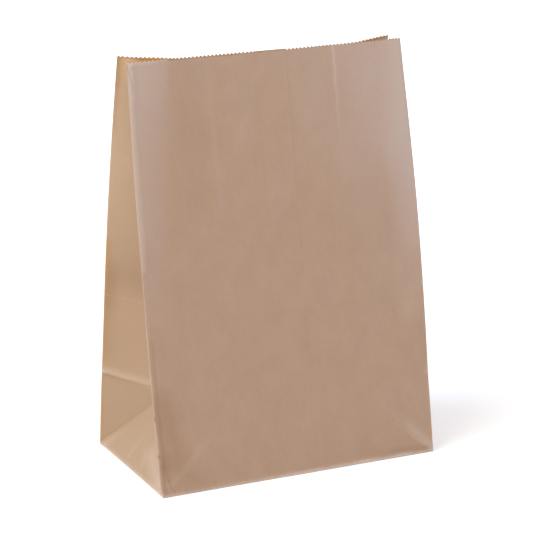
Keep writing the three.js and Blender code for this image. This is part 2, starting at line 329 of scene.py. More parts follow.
# Relief of the paper: soft creases and swells, outward in millimetres
PACKING_CREASE = 121  # height of the crease left by the flat-packed base
LEFT_RIDGE = PLY_WIDTH  # places across a panel where a gusset's centre fold lies behind it
RIGHT_RIDGE = WIDTH - PLY_WIDTH
TENT_LEFT = 0.5  # how far the front stands out over the left ridge
TENT_RIGHT = 3.0  # and over the right one
TENT_SWELL = 0.7  # how much it swells between the right ridge and the fold
TENT_START, TENT_END = 120, 250  # heights between which it comes in
RIDGE_HEIGHT = 0.5  # how far the back stands out over each ridge
RIDGE_SPREAD = 12
RIDGE_START = 140
DENT_DEPTH = 0.45  # dents in the front just above the base's corners
DENT_HEIGHT = 6
DENT_SPREAD = 4
DENT_REACH = 40
DISH_DEPTH = 2.4  # how far a gusset ply is dished
DISH_HEIGHT = 128
DISH_SPREAD = 20
DISH_START = 12  # height above the base crease at which it may be dished in full
PLY_CREASE = 0.3  # how far the packing crease stands out on a ply
PLY_CREASE_SPREAD = 7
LIP_OUTER = 0.6  # how far a ply stands out at the crease above its base, by its panel's fold
LIP_INNER = 0.1  # and by the centre fold
LIP_SPREAD_ABOVE = 6
LIP_SPREAD_BELOW = 1.5
LIP_DROP = 0.65  # how far below the base crease that crease starts
LIP_CLIMB = 5  # how far it climbs to the centre fold
FRONT_WAVES, BACK_WAVES, PLY_WAVES = 0.22, 0.3, 0.12  # unevenness of each kind of stretch
WAVE_COUNT = 7
WAVE_ACROSS = 45  # shortest wave across the sheet
WAVE_UP = 60  # and up it
WAVE_SUM = 3  # sum of the waves that is taken as full height
WAVE_FADE = 20  # distances from an upright fold within which a relief fades out
CREASE_FADE = 3
DENT_FADE = 6
DISH_FADE = 10
RELIEF_START = 3  # height above the base fold at which all relief is full

# Creases across a panel, as (height outward, place up the panel, spread)
FRONT_ACROSS = [(0.1, PACKING_CREASE, 6)]
BACK_ACROSS = [(0.5, PLY_WIDTH, 4), (0.2, PACKING_CREASE, 5)]

# Slanting creases, as (begin, end, height outward at the beginning, spread)
FRONT_SLANTS = [
    ((0, 0), (60, 57), 0.7, 3.5),
    ((WIDTH, 0), (WIDTH - 50, 46), 0.8, 3.5),
    ((9, 4), (9, 75), -0.35, 2.5),
]
BACK_SLANTS = [
    ((0, 0), (55, 55), 0.6, 3.5),
    ((WIDTH, 0), (WIDTH - 55, 55), 0.6, 3.5),
]


def crease(s, v, begin, end, height, spread):
    """A straight crease on a panel that is strongest at its beginning and fades to its end."""
    line = np.subtract(end, begin).astype(float)
    length = np.hypot(*line)
    along = ((s - begin[0]) * line[0] + (v - begin[1]) * line[1]) / length**2
    held = np.clip(along, 0, 1)
    away = np.hypot(s - begin[0] - held * line[0], v - begin[1] - held * line[1])
    return height * (1 - held) * np.exp(-away / spread)


def waves(s, v, seed, height):
    """Gentle unevenness of a sheet that has been handled."""
    random = np.random.default_rng(seed)
    total = np.zeros(np.broadcast(s, v).shape)
    for _ in range(WAVE_COUNT):
        across = random.uniform(-1, 1) / WAVE_ACROSS
        up = random.uniform(-1, 1) / WAVE_UP
        total = total + np.sin(2 * np.pi * (across * s + up * v) + random.uniform(0, 2 * np.pi))
    return height * total / WAVE_SUM


def edge_fade(s, length, reach):
    """0 at the folds at both ends of a stretch and 1 away from them."""
    return smoothstep(0, reach, np.minimum(s, length - s))


def panel_creases(s, v, across, slants):
    total = np.zeros(np.broadcast(s, v).shape)
    for height, at, spread in across:
        total = total + height * np.exp(-np.abs(v - at) / spread)
    for slant in slants:
        total = total + crease(s, v, *slant)
    return total * edge_fade(s, WIDTH, CREASE_FADE)


def front_tent(s, v):
    """How far the front stands out over the gussets' centre folds, towards the mouth."""
    tent = np.interp(s, (0, LEFT_RIDGE, RIGHT_RIDGE, WIDTH), (0, TENT_LEFT, TENT_RIGHT, 0))
    swell = TENT_SWELL * arch(np.clip((s - RIGHT_RIDGE) / PLY_WIDTH, 0, 1))
    return (tent + swell) * smoothstep(TENT_START, TENT_END, v)


def front_relief(s, v):
    uneven = waves(s, v, seed=3, height=FRONT_WAVES) * edge_fade(s, WIDTH, WAVE_FADE)
    near_corners = np.exp(-s / DENT_REACH) + np.exp(-(WIDTH - s) / DENT_REACH)
    dents = DENT_DEPTH * near_corners * np.exp(-(((v - DENT_HEIGHT) / DENT_SPREAD) ** 2))
    dents *= edge_fade(s, WIDTH, DENT_FADE)
    return front_tent(s, v) + uneven + panel_creases(s, v, FRONT_ACROSS, FRONT_SLANTS) - dents


def back_relief(s, v):
    uneven = waves(s, v, seed=5, height=BACK_WAVES) * edge_fade(s, WIDTH, WAVE_FADE)
    near_ridges = sum(np.exp(-np.abs(s - at) / RIDGE_SPREAD) for at in (LEFT_RIDGE, RIGHT_RIDGE))
    ridges = RIDGE_HEIGHT * near_ridges * smoothstep(RIDGE_START, HEIGHT, v)
    return uneven + ridges + panel_creases(s, v, BACK_ACROSS, BACK_SLANTS)


def base_crease(q):
    """Height of the creased line on a gusset ply, which runs up a little from the panel's fold."""
    return PLY_WIDTH - LIP_DROP + LIP_CLIMB * q / PLY_WIDTH


def ply_relief(q, v, seed):
    """A ply stands out a little at the crease above its base, and is dished at the packing crease."""
    bent = PLY_CREASE * np.exp(-np.abs(v - PACKING_CREASE) / PLY_CREASE_SPREAD)
    bent -= DISH_DEPTH * np.exp(-(((v - DISH_HEIGHT) / DISH_SPREAD) ** 2))
    soft = (bent + waves(q, v, seed, PLY_WAVES)) * smoothstep(PLY_WIDTH, PLY_WIDTH + DISH_START, v)
    above = v - base_crease(q)
    spread = np.where(above > 0, LIP_SPREAD_ABOVE, LIP_SPREAD_BELOW)
    lip = lerp(LIP_OUTER, LIP_INNER, q / PLY_WIDTH) * np.exp(-np.abs(above) / spread)
    return edge_fade(q, PLY_WIDTH, DISH_FADE) * soft + edge_fade(q, PLY_WIDTH, CREASE_FADE) * lip


FRONT.relief = front_relief
BACK.relief = back_relief
RIGHT_FRONT.relief = lambda s, v: ply_relief(s, v, 0)
RIGHT_BACK.relief = lambda s, v: ply_relief(PLY_WIDTH - s, v, 1)
LEFT_BACK.relief = lambda s, v: ply_relief(s, v, 2)
LEFT_FRONT.relief = lambda s, v: ply_relief(PLY_WIDTH - s, v, 3)


# Places where the mesh has its points
NEAR_FOLD = (0, 0.5, 1.1, 2, 3.4, 5.4)  # distances from a fold, closer together towards it
FRONT_STEP = 2.3  # distances between the places further away, across each kind of stretch
BACK_STEP = 3
PLY_STEP = 2.46
ROW_STEP = 2.5  # and up the sheet
RIM_BAND = 2.4  # depth of the strip that carries the serrated cut
BASE_RINGS = (-6, -3, -1.6, -0.7)  # rows under the bag, around the base ply
SEAM_LEFT = (WIDTH - SEAM_LAP) / 2
SEAM_RIGHT = (WIDTH + SEAM_LAP) / 2
SEAM_STOPS = np.array([SEAM_LEFT - SEAM_RAMP, SEAM_LEFT, SEAM_RIGHT, SEAM_RIGHT + SEAM_CUT])


def graded(length, step):
    """Places along a stretch with a fold at each end."""
    margin = NEAR_FOLD[-1]
    count = round((length - 2 * margin) / step)
    middle = np.linspace(margin, length - margin, count + 1)[1:-1]
    return np.concatenate([NEAR_FOLD, middle, length - np.array(NEAR_FOLD[::-1])])


def with_seam(places):
    """A stretch's places with the seam's own in the stead of those close to them."""
    clear = np.abs(places[:, None] - SEAM_STOPS).min(1) > FRONT_STEP / 2
    return np.sort(np.concatenate([places[clear], SEAM_STOPS]))


FRONT.stops = with_seam(graded(WIDTH, FRONT_STEP))
BACK.stops = graded(WIDTH, BACK_STEP)
for stretch in (RIGHT_FRONT, RIGHT_BACK, LEFT_BACK, LEFT_FRONT):
    stretch.stops = graded(PLY_WIDTH, PLY_STEP)


def even_rows():
    """Heights of the rows below the rim band, closer together at the base fold and at both creases."""
    rim = HEIGHT - RIM_BAND
    foot = graded(PLY_WIDTH, PLY_STEP)
    upper = graded(PACKING_CREASE - PLY_WIDTH, ROW_STEP)[1:] + PLY_WIDTH
    top = graded(rim - PACKING_CREASE + NEAR_FOLD[-1], ROW_STEP)[1:-len(NEAR_FOLD)] + PACKING_CREASE
    return np.concatenate([BASE_RINGS, foot, upper, top, [rim]])


def cut_top(stretch):
    """Places and heights along the cut: serrated, with a valley at each fold, and plain across the seam."""
    teeth = round(stretch.length / TOOTH_PITCH)
    places = np.linspace(0, stretch.length, 2 * teeth + 1)
    tips = np.arange(2 * teeth + 1) % 2
    if stretch is FRONT:
        toothed = (places < SEAM_STOPS[0]) | (places > SEAM_STOPS[-1])
        places = np.concatenate([places[toothed], SEAM_STOPS])
        tips = np.concatenate([tips[toothed], np.full(len(SEAM_STOPS), SEAM_TIP)])
        order = np.argsort(places)
        places, tips = places[order], tips[order]
    step_ends = (0, SEAM_RIGHT, SEAM_RIGHT + SEAM_CUT, LEFT_FRONT.start, PERIMETER)
    step = np.interp(stretch.start + places, step_ends, (CUT_STEP, CUT_STEP_AT_SEAM, 0, 0, CUT_STEP))
    return places, HEIGHT + TOOTH_RISE - TOOTH_DEPTH * (1 - tips) + step


def wall_rows():
    """Every row of the wall as (u, v), from under the base to the cut top, without the closing point."""
    around = np.concatenate([stretch.start + stretch.stops[:-1] for stretch in stretches])
    made = [(around, np.full(len(around), v)) for v in even_rows()]
    cut = [cut_top(stretch) for stretch in stretches]
    rim_u = np.concatenate([stretch.start + places[:-1] for stretch, (places, _) in zip(stretches, cut)])
    made.append((rim_u, np.concatenate([heights[:-1] for _, heights in cut])))
    return made


def leans_left(u):
    """Whether the faces at u are split up to the left: on each side of the bag the creases from the base
    corners run up towards its middle, and so do the faces' edges."""
    starts = np.array([FRONT.start, RIGHT_FRONT.start, BACK.start, LEFT_BACK.start, PERIMETER])
    side = np.searchsorted(starts, u, side="right") - 1
    return u >= (starts[side] + starts[side + 1]) / 2


def wall_faces(made):
    """Faces of the sheet as corners (point, u, v), outward side out."""
    faces = []
    first = 0
    for lower, upper in zip(made[:-2], made[1:-1]):
        count = len(lower[0])
        us = np.append(lower[0], PERIMETER)
        v, v_up = lower[1][0], upper[1][0]
        for i in range(count):
            j = (i + 1) % count
            a, b = (first + i, us[i], v), (first + j, us[i + 1], v)
            c, d = (first + count + j, us[i + 1], v_up), (first + count + i, us[i], v_up)
            faces += [(a, b, d), (b, c, d)] if leans_left(us[i]) else [(a, b, c), (a, c, d)]
        first += count
    return faces + rim_faces(made[-2], made[-1], first)


def rim_faces(lower, upper, first):
    """Fills the band between the last even row and the serrated cut, across the shorter diagonal."""
    faces = []
    count, count_up = len(lower[0]), len(upper[0])
    us, ups = np.append(lower[0], PERIMETER), np.append(upper[0], PERIMETER)
    vs, vps = np.append(lower[1], lower[1][0]), np.append(upper[1], upper[1][0])
    low = [(first + i % count, us[i], vs[i]) for i in range(count + 1)]
    high = [(first + count + i % count_up, ups[i], vps[i]) for i in range(count_up + 1)]
    i = j = 0
    while i < count or j < count_up:
        low_next = us[i + 1] - ups[j] if i < count else math.inf
        high_next = ups[j + 1] - us[i] if j < count_up else math.inf
        if low_next <= high_next:
            faces.append((low[i], low[i + 1], high[j]))
            i += 1
        else:
            faces.append((low[i], high[j + 1], high[j]))
            j += 1
    return faces


def point_normals(points, faces):
    """Mean outward direction at each point."""
    total = np.zeros_like(points)
    ring = np.array([[corner[0] for corner in face] for face in faces])
    a, b, c = (points[ring[:, k]] for k in range(3))
    for k in range(3):
        np.add.at(total, ring[:, k], np.cross(b - a, c - a))
    return total / np.linalg.norm(total, axis=1, keepdims=True)


def with_relief(middle, u, v, faces):
    """The sheet's middle moved out by the relief of each stretch."""
    relief = np.zeros(len(u))
    for stretch in stretches:
        here = (u >= stretch.start) & (u < stretch.start + stretch.length) & (v > 0)
        relief[here] = stretch.relief(u[here] - stretch.start, v[here])
    relief *= smoothstep(0, RELIEF_START, v)
    return middle + point_normals(middle, faces) * relief[:, None]


def seam_plies(u, v):
    """Extra plies on the outside of the sheet: one over the seam's lap."""
    ramp = np.interp(u, SEAM_STOPS, (0, 1, 1, 0), left=0, right=0)
    return np.where(v >= 0, ramp, 0)


def on_gusset(u):
    return ((u > WIDTH) & (u < BACK.start)) | (u > LEFT_BACK.start)


WEAR_WIDTH = 0.8  # distances within which the wear of a fold fades
BASE_WEAR_WIDTH = 1.4
FLAP_WEAR_WIDTH = 1.0
CENTRE_WEAR_START = PLY_WIDTH - 15  # height at which the centre folds' wear begins


def fold_wear(u, v):
    """1 along the front's upright folds, the centre folds and the base fold, fading away from them."""
    outer = np.abs(u[:, None] - np.array([0, WIDTH, PERIMETER])).min(1)
    centre = np.abs(u[:, None] - np.array([RIGHT_BACK.start, LEFT_FRONT.start])).min(1)
    centre_wear = np.exp(-centre / WEAR_WIDTH) * smoothstep(CENTRE_WEAR_START, PLY_WIDTH, v)
    wear = np.maximum(np.exp(-outer / WEAR_WIDTH), centre_wear)
    return np.maximum(wear, np.exp(-np.abs(v) / BASE_WEAR_WIDTH))


def cut_edge(u, v, rim_count):
    """Faces of the paper's thickness along the cut top, from its outside to its inside."""
    count = len(u)
    first = count - rim_count
    edge = []
    for i in range(rim_count):
        a, b = first + i, first + (i + 1) % rim_count
        u_end = u[a] + 1
        edge.append(((a, u[a], v[a]), (b, u_end, v[b]), (b + count, u_end, v[b]), (a + count, u[a], v[a])))
    return edge


def build_sheet():
    """Points, faces and point values of the folded sheet as a thin closed solid."""
    made = wall_rows()
    u = np.concatenate([row[0] for row in made])
    v = np.concatenate([row[1] for row in made])
    faces = wall_faces(made)
    middle = with_relief(rounded(u, v), u, v, faces)
    normals = point_normals(middle, faces)
    outer = middle + normals * (PAPER * (0.5 + seam_plies(u, v)))[:, None]
    inner = middle - normals * (PAPER / 2)
    base = [(i, middle[i, 0], middle[i, 1] - HEIGHT) for i in range(len(made[0][0]))]
    skin = faces + [tuple(reversed(base))]
    inside = [tuple((i + len(u), x, y) for i, x, y in reversed(face)) for face in skin]
    wear = fold_wear(u, v)
    return SimpleNamespace(
        points=np.concatenate([outer, inner]),
        faces=skin + inside + cut_edge(u, v, len(made[-1][0])),
        wear=np.concatenate([wear, wear]),
        inside=np.repeat([0.0, 1.0], len(u)),
        # where the gussets carry painted light
        gusset_light=np.tile(on_gusset(u) * smoothstep(0, 1, v), 2),
    )


FLAP_MARGIN = SINK_REACH + 0.5  # the flaps lie inside the base fold's own bend
FLAP_CELLS = (44, 16)  # across a flap and along it


def add_flap(sheet, panel, layer):
    """Adds a base flap to the sheet. Its ends run at 45 degrees, where the gusset's paper is tucked in."""
    across, along = FLAP_CELLS
    share, reach = np.meshgrid(np.linspace(-1, 1, across + 1), np.linspace(0, 1, along + 1))
    half = lerp(HALF_WIDTH - FLAP_MARGIN, HALF_WIDTH - BASE_FLAP, reach)
    depth = panel.outward * lerp(PLY_WIDTH - FLAP_MARGIN, PLY_WIDTH - BASE_FLAP, reach)
    flat = np.stack([share * half, depth], -1).reshape(-1, 2)
    count, first = len(flat), len(sheet.points)
    low = np.column_stack([flat, np.full(count, layer * PAPER)])
    grid = np.arange(count).reshape(along + 1, across + 1)

    def face(*ids):
        ids = ids if panel.outward > 0 else ids[::-1]
        return tuple((first + i, flat[i % count, 0] + PERIMETER, flat[i % count, 1]) for i in ids)

    for r in range(along):
        for c in range(across):
            a, b, d, e = grid[r, c], grid[r, c + 1], grid[r + 1, c + 1], grid[r + 1, c]
            sheet.faces += [face(a, b, d, e), face(e + count, d + count, b + count, a + count)]
    border = [*grid[0, :-1], *grid[:-1, -1], *grid[-1, :0:-1], *grid[:0:-1, 0]]
    for a, b in zip(border, border[1:] + border[:1]):
        sheet.faces.append(face(b, a, a + count, b + count))
    from_edge = np.minimum((1 - np.abs(share)) * half, (1 - reach) * BASE_FLAP)
    wear = np.exp(-from_edge / FLAP_WEAR_WIDTH).ravel()
    sheet.points = np.concatenate([sheet.points, low, low + (0, 0, PAPER)])
    sheet.wear = np.concatenate([sheet.wear, wear, wear])
    sheet.inside = np.concatenate([sheet.inside, np.zeros(2 * count)])
    sheet.gusset_light = np.concatenate([sheet.gusset_light, np.zeros(2 * count)])


SHARP_ANGLE = math.radians(50)


def mesh_object(name, sheet):
    """A smooth object with the sheet's places as its UV map and its point values as attributes."""
    mesh = bpy.data.meshes.new(name)
    rings = [[corner[0] for corner in face] for face in sheet.faces]
    mesh.from_pydata((sheet.points * MM).tolist(), [], rings)
    places = np.array([corner[1:] for face in sheet.faces for corner in face])
    mesh.uv_layers.new(name="sheet").uv.foreach_set("vector", (places * MM).astype(np.float32).ravel())
    for key, values in (("wear", sheet.wear), ("inside", sheet.inside), ("gusset_light", sheet.gusset_light)):
        mesh.attributes.new(key, "FLOAT", "POINT").data.foreach_set("value", values.astype(np.float32))
    mesh.polygons.foreach_set("use_smooth", np.ones(len(mesh.polygons), bool))
    mesh.set_sharp_from_angle(angle=SHARP_ANGLE)
    made = bpy.data.objects.new(name, mesh)
    bpy.context.scene.collection.objects.link(made)
    return made


class Shader:
    """The node tree of a material or a world, with short ways to add nodes and feed their sockets."""

    def __init__(self, owner):
        owner.use_nodes = True
        self.tree = owner.node_tree
        self.tree.nodes.clear()

    def node(self, kind, inputs, **settings):
        made = self.tree.nodes.new("ShaderNode" + kind)
        for key, value in settings.items():
            setattr(made, key, value)
        for key, value in inputs.items():
            if isinstance(value, bpy.types.NodeSocket):
                self.tree.links.new(value, made.inputs[key])
            else:
                made.inputs[key].default_value = value
        return made

    def math(self, operation, a, b=0.0, clamp=False):
        return self.node("Math", {0: a, 1: b}, operation=operation, use_clamp=clamp).outputs[0]

    def spread(self, value, low, high, to_low, to_high):
        names = ("Value", "From Min", "From Max", "To Min", "To Max")
        return self.node("MapRange", dict(zip(names, (value, low, high, to_low, to_high)))).outputs[0]

    def mix(self, share, a, b):
        return self.node("Mix", {"Factor": share, 6: a, 7: b}, data_type="RGBA").outputs[2]

    def vector(self, operation, a, b):
        return self.node("VectorMath", {0: a, 1: b}, operation=operation).outputs

    def noise(self, place, features, detail):
        """Noise with so many features a metre across and up the sheet."""
        scaled = self.vector("MULTIPLY", place, (*features, 1))[0]
        keys = {"Vector": scaled, "Scale": 1.0, "Detail": detail, "Roughness": 0.6}
        return self.node("TexNoise", keys, noise_dimensions="2D").outputs[0]

    def value(self, name):
        return self.node("Attribute", {}, attribute_name=name).outputs["Fac"]

    def seen(self):
        """1 for light that goes to the camera straight, off something glossy or through something clear."""
        path = self.node("LightPath", {}).outputs
        in_something = self.math("MAXIMUM", path["Is Glossy Ray"], path["Is Transmission Ray"])
        return self.math("MAXIMUM", path["Is Camera Ray"], in_something)


# Kraft paper
KRAFT_DARK = (0.403, 0.252, 0.161, 1)  # the two ends of its tone
KRAFT_LIGHT = (0.438, 0.278, 0.18, 1)
GUSSET_LIGHT_LOW = (0.396, 0.256, 0.157, 1)  # painted light on the gussets: darker low down
GUSSET_LIGHT_HIGH = (0.524, 0.363, 0.239, 1)  # and lighter higher up, where light comes through the paper
# the inside, brighter and more orange as painted light coming through the paper
KRAFT_INSIDE_BACKLIT = (0.88, 0.53, 0.19, 1)
# wear on folds, and painted highlights and sheen
KRAFT_WORN_AND_HIGHLIGHT = (0.59, 0.457, 0.363, 1)
# creases and darker places, and painted shade
KRAFT_BRUISED_AND_SHADE = (0.275, 0.135, 0.048, 1)
KRAFT_BACKLIT = (0.43, 0.23, 0.083, 1)
# painted cool sheen
KRAFT_LILAC_SHEEN = (0.42, 0.285, 0.22, 1)
FLECK = (0.3, 0.17, 0.1, 1)
CLOUDS = (70, 45)  # features a metre, across and up the sheet
FIBRES = (900, 130)
GRAINS = (2600, 1500)
FLECKS = (1500, 260)
NOISE_LOW, NOISE_HIGH = 0.3, 0.7  # levels that a noise seldom passes
FIBRE_SHARE = 0.6  # the fibre's share in the tone, beside the clouding
TONE_LOW, TONE_HIGH = 0.5, 1.1  # levels of the tone at which the paper is darkest and lightest
FLECK_LOW, FLECK_HIGH = 0.66, 0.78  # levels of its noise at which a fleck begins and is full
FLECK_STRENGTH = 0.25
WEAR_LEAST, WEAR_MOST = 0.4, 0.85  # strength of a fold's wear, streaked by the fibre
# share of the painted light on the gussets
GUSSET_LIGHT_STRENGTH = 0.85
GUSSET_LIGHT_START, GUSSET_LIGHT_END = 140, 230  # heights between which the painted light on the gussets turns from darker to lighter
GLOW_START, GLOW_END = 290, 311  # heights between which light from the mouth comes in on them
GLOW_STRENGTH = 0.3
INSIDE_STRENGTH = 0.9
WOBBLE = 3  # how far the clouding moves the marks, so that they aren't ruler straight
ROUGHNESS_LOW, ROUGHNESS_HIGH = 0.31, 0.36  # of the glazed outside
INSIDE_ROUGHER = 0.4
BUMP_DEPTH = 0.03
BUMP_STRENGTH = 0.5
FIBRE_BUMP = 1.5  # the fibre's height beside the grain's
PAPER_IOR = 1.5

# Marks on the sheet, as (begin, end, half width, strength at the beginning, strength at the end).
# Worn-and-highlight ones are paler than the paper: wear, and painted highlights, sheen and light.
WORN_AND_HIGHLIGHT_MARKS = [
    ((121.0, HEIGHT), (121.0, 0), 0.6, 0.08, 0.03),  # edge of the seam
    ((160, HEIGHT), (159.6, 235), 1.5, 0.34, 0.0),  # crease over the right ridge with a painted highlight, and its soft border
    ((160, HEIGHT), (159, 150), 4.0, 0.08, 0.0),
    ((0, 0.7), (PERIMETER, 0.7), 1.7, 0.4, 0.35),  # base fold with wear and a painted highlight, the highlight strongest at the front right
    ((WIDTH, 0.6), (70, 0.6), 3.0, 1.0, 0.2),
    ((8, 8), (53, 51), 4.0, 0.18, 0.0),  # creases up from the front's base corners, with painted highlights along them
    ((217, 6), (192, 33), 6.0, 0.4, 0.0),
    ((218, 3), (188, 27), 1.8, 0.24, 0.05),
    ((11.5, 13), (6, 72), 2.5, 0.1, 0.0),
    ((1.8, HEIGHT), (1.4, 165), 3.4, 0.7, 0.35),  # painted highlight on the upper front left fold
    ((9, 300), (5, 190), 20, 0.34, 0.12),  # painted sheen on the sides of the front
    ((215, HEIGHT), (215, 110), 20, 0.34, 0.16),
    ((0.3, 135), (0.3, 2), 0.9, 0.25, 0.5),  # lower front left fold
    ((PERIMETER - 16, 5), (PERIMETER - 42, 18), 11, 0.4, 0.3),  # painted light on the left side of the base
    ((2, HEIGHT + 1), (36, HEIGHT + 1), 3.0, 0.7, 0.3),  # cut top at the front left
    ((218.7, 127), (219.4, 129), 1.2, 0.5, 0.3),  # nick in the front right fold
    ((BACK.start + 4, 4), (BACK.start + 50, 50), 3.5, 0.22, 0.0),  # creases on the back
    ((LEFT_BACK.start - 4, 4), (LEFT_BACK.start - 50, 50), 3.5, 0.22, 0.0),
    ((BACK.start, 60), (LEFT_BACK.start, 60.5), 1.4, 0.12, 0.1),
]
# Bruised-and-shaded ones are darker: creases and nicks, darker places, and painted shade.
BRUISED_AND_SHADE_MARKS = [
    ((121.9, HEIGHT), (121.9, 0), 0.7, 0.12, 0.05),  # shade beside the seam's edge
    ((0, 122.4), (WIDTH, 119), 1.6, 0.04, 0.05),  # packing crease
    ((4, 22), (30, 8), 12, 0.36, 0.15),  # darker places at the front's left
    ((6, 66), (14, 30), 15, 0.34, 0.34),
    # painted shade on the front's upper left
    ((38, 275), (42, 200), 20, 0.2, 0.06),
    ((214, 3.5), (150, 8), 4.5, 0.45, 0.0),  # shade above the base fold
    ((9.5, 2.5), (6.5, 11.7), 1.1, 0.35, 0.35),  # bent line at the front's left base corner
    ((6.5, 11.7), (4.2, 25), 1.1, 0.35, 0.0),
    ((3.0, 112), (3.2, 4), 2.0, 0.25, 0.4),  # shade beside the front left fold
    ((32, HEIGHT + 1.2), (PERIMETER - 30, HEIGHT + 1), 2.2, 1.0, 1.0),  # cut top
    ((0.6, HEIGHT), (3.6, 292), 0.9, 0.55, 0.2),  # bent line at the mouth's front left corner
    ((0, 59), (0.9, 56), 1.4, 0.6, 0.4),  # nicks in the front left fold
    ((0, 31), (0.9, 29), 1.4, 0.6, 0.4),
    ((BACK.start, 121), (LEFT_BACK.start, 122), 1.6, 0.06, 0.05),  # packing crease on the back
    ((LEFT_BACK.start + 0.5, HEIGHT), (LEFT_BACK.start + 0.5, 250), 4.0, 0.6, 0.15),  # painted shade along the upper back left fold
]
# At backlit ones light comes through a fold: the back left one, and the front right one.
BACKLIT_MARKS = [
    ((LEFT_BACK.start, HEIGHT), (LEFT_BACK.start, 275), 6.5, 1.0, 0.2),
    ((LEFT_BACK.start + 1, 165), (LEFT_BACK.start + 1, 66), 5.0, 0.8, 0.9),
    ((LEFT_BACK.start + 1, 55), (LEFT_BACK.start + 1, 0), 4.0, 0.7, 0.7),
    ((219.5, 190), (219.5, 4), 2.2, 0.2, 0.8),
]
# Lilac ones are a painted cool sheen: on the sides of the front, and on the crease over its left ridge.
LILAC_SHEEN_MARKS = [
    ((7, 280), (5, 140), 20, 0.75, 0.5),
    ((59.6, HEIGHT), (62.3, 198), 2.4, 0.25, 0.5),
    ((212, 250), (212, 160), 20, 0.5, 0.3),
]
# The four gusset plies are alike, so theirs have their places across a ply, from its panel's fold inward.
PLY_WORN_AND_HIGHLIGHT_MARKS = [
    ((0, 61.4), (60, 66.4), 5.0, 0.36, 0.32),  # crease above the base, with painted light above it and a painted highlight where it starts
    ((0.5, 60.2), (6, 60.9), 1.8, 0.6, 0.0),
    ((0, 123), (60, 122), 1.6, 0.12, 0.05),  # packing crease
    ((48, 8), (57, 30), 4, 0.16, 0.0),  # lighter places near the base, with painted light on the side of the base
    ((8, 3), (34, 26), 5.0, 0.22, 0.0),
]
PLY_BRUISED_AND_SHADE_MARKS = [
    ((0, 58.3), (60, 63.3), 1.3, 0.5, 0.1),  # shade under the crease above the base
    ((0, 57.5), (45, 61.0), 4.0, 0.22, 0.0),
    ((0, 141), (60, 141), 22, 0.14, 0.06),  # painted shade in the dish
    # painted shade beside the outer fold
    ((2, 118), (4, 80), 13, 0.2, 0.22),
    ((0.5, 2.2), (44, 45.5), 1.6, 0.3, 0.15),  # painted shade along the fold up from the base corner
]


def ply_place(shader, place):
    """Place across a gusset ply, from its panel's fold; off the gussets it is below 0."""
    parts = shader.node("SeparateXYZ", {0: place}).outputs
    half_round = shader.math("MODULO", parts["X"], PERIMETER / 2 * MM)
    from_centre = shader.math("ABSOLUTE", shader.math("SUBTRACT", half_round, RIGHT_BACK.start * MM))
    across = shader.math("SUBTRACT", PLY_WIDTH * MM, from_centre)
    return shader.node("CombineXYZ", {"X": across, "Y": parts["Y"]}).outputs[0]


def mark_strength(shader, place, begin, end, width, first, last):
    """How much of one mark there is at a place on the sheet."""
    begin, end = Vector((*begin, 0)) * MM, Vector((*end, 0)) * MM
    line = end - begin
    offset = shader.vector("SUBTRACT", place, begin)[0]
    reach = shader.vector("DOT_PRODUCT", offset, line / line.length_squared)["Value"]
    along = shader.math("ADD", reach, 0.0, clamp=True)
    foot = shader.node("VectorMath", {0: line, "Scale": along}, operation="SCALE").outputs[0]
    away = shader.vector("DISTANCE", offset, foot)["Value"]
    near = shader.spread(away, 0.0, width * MM, 1.0, 0.0)
    return shader.math("MULTIPLY", near, shader.spread(along, 0.0, 1.0, first, last))


def marks_strength(shader, place, marks, total=0.0):
    """How much of all these marks there is at a place, on top of what is there already."""
    for mark in marks:
        total = shader.math("ADD", mark_strength(shader, place, *mark), total)
    return total


def plain_colour(shader, place, cloud, fibre):
    """Colour of the paper without its marks: clouded, streaked and flecked, and on the gussets painted
    light, darker low down and lighter higher up.
    """
    tone = shader.math("ADD", cloud, shader.math("MULTIPLY", fibre, FIBRE_SHARE))
    colour = shader.mix(shader.spread(tone, TONE_LOW, TONE_HIGH, 0, 1), KRAFT_DARK, KRAFT_LIGHT)
    up = shader.node("SeparateXYZ", {0: place}).outputs["Y"]
    # painted light on the gussets, lighter higher up where light comes through the paper
    high = shader.spread(up, GUSSET_LIGHT_START * MM, GUSSET_LIGHT_END * MM, 0, 1)
    glow = shader.spread(up, GLOW_START * MM, GLOW_END * MM, 0, GLOW_STRENGTH)
    gusset_light = shader.mix(glow, shader.mix(high, GUSSET_LIGHT_LOW, GUSSET_LIGHT_HIGH), KRAFT_INSIDE_BACKLIT)
    gusset_light_share = shader.math("MULTIPLY", shader.value("gusset_light"), GUSSET_LIGHT_STRENGTH)
    fleck = shader.spread(shader.noise(place, FLECKS, 1), FLECK_LOW, FLECK_HIGH, 0, FLECK_STRENGTH)
    return shader.mix(fleck, shader.mix(gusset_light_share, colour, gusset_light), FLECK)


def marked_colour(shader, place, fibre, colour):
    """The paper's colour with the wear on its folds and its marks, among them painted highlights, sheen,
    light and shade.
    """
    streaks = shader.spread(fibre, NOISE_LOW, NOISE_HIGH, WEAR_LEAST, WEAR_MOST)
    worn_and_highlit = shader.math("MULTIPLY", shader.value("wear"), streaks)
    on_ply = ply_place(shader, place)
    worn_and_highlit = marks_strength(shader, place, WORN_AND_HIGHLIGHT_MARKS, worn_and_highlit)
    worn_and_highlit = marks_strength(shader, on_ply, PLY_WORN_AND_HIGHLIGHT_MARKS, worn_and_highlit)
    bruised_and_shaded = marks_strength(shader, place, BRUISED_AND_SHADE_MARKS)
    bruised_and_shaded = marks_strength(shader, on_ply, PLY_BRUISED_AND_SHADE_MARKS, bruised_and_shaded)
    colour = shader.mix(marks_strength(shader, place, BACKLIT_MARKS), colour, KRAFT_BACKLIT)
    colour = shader.mix(marks_strength(shader, place, LILAC_SHEEN_MARKS), colour, KRAFT_LILAC_SHEEN)
    colour = shader.mix(worn_and_highlit, colour, KRAFT_WORN_AND_HIGHLIGHT)
    return shader.mix(bruised_and_shaded, colour, KRAFT_BRUISED_AND_SHADE)


